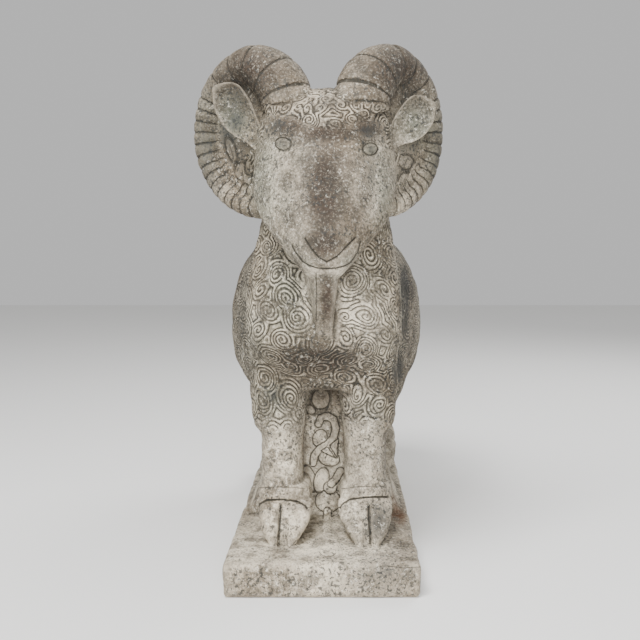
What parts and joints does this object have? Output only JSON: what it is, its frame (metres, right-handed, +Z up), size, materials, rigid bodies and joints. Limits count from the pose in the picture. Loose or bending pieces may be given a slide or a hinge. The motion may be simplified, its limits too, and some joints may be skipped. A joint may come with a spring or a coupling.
{
  "type": "garden statue",
  "caption": "Carved stone ram standing on a low plinth, with ribbed spiral horns, a curled fleece, cloven hooves and a vine carved on the panel between the forelegs.",
  "frame": {"origin": "middle of the plinth's underside", "axes": "-Y is the way the ram faces, +X is to the right for someone who looks at its face, +Z is up"},
  "size_m": [0.532, 0.9049, 1.0431],
  "materials": {
    "stone": "weathered, coarse-grained stone with lichen and dark grooves"
  },
  "bodies": {
    "root": {"ram_statue": "stone"}
  },
  "joints": []
}
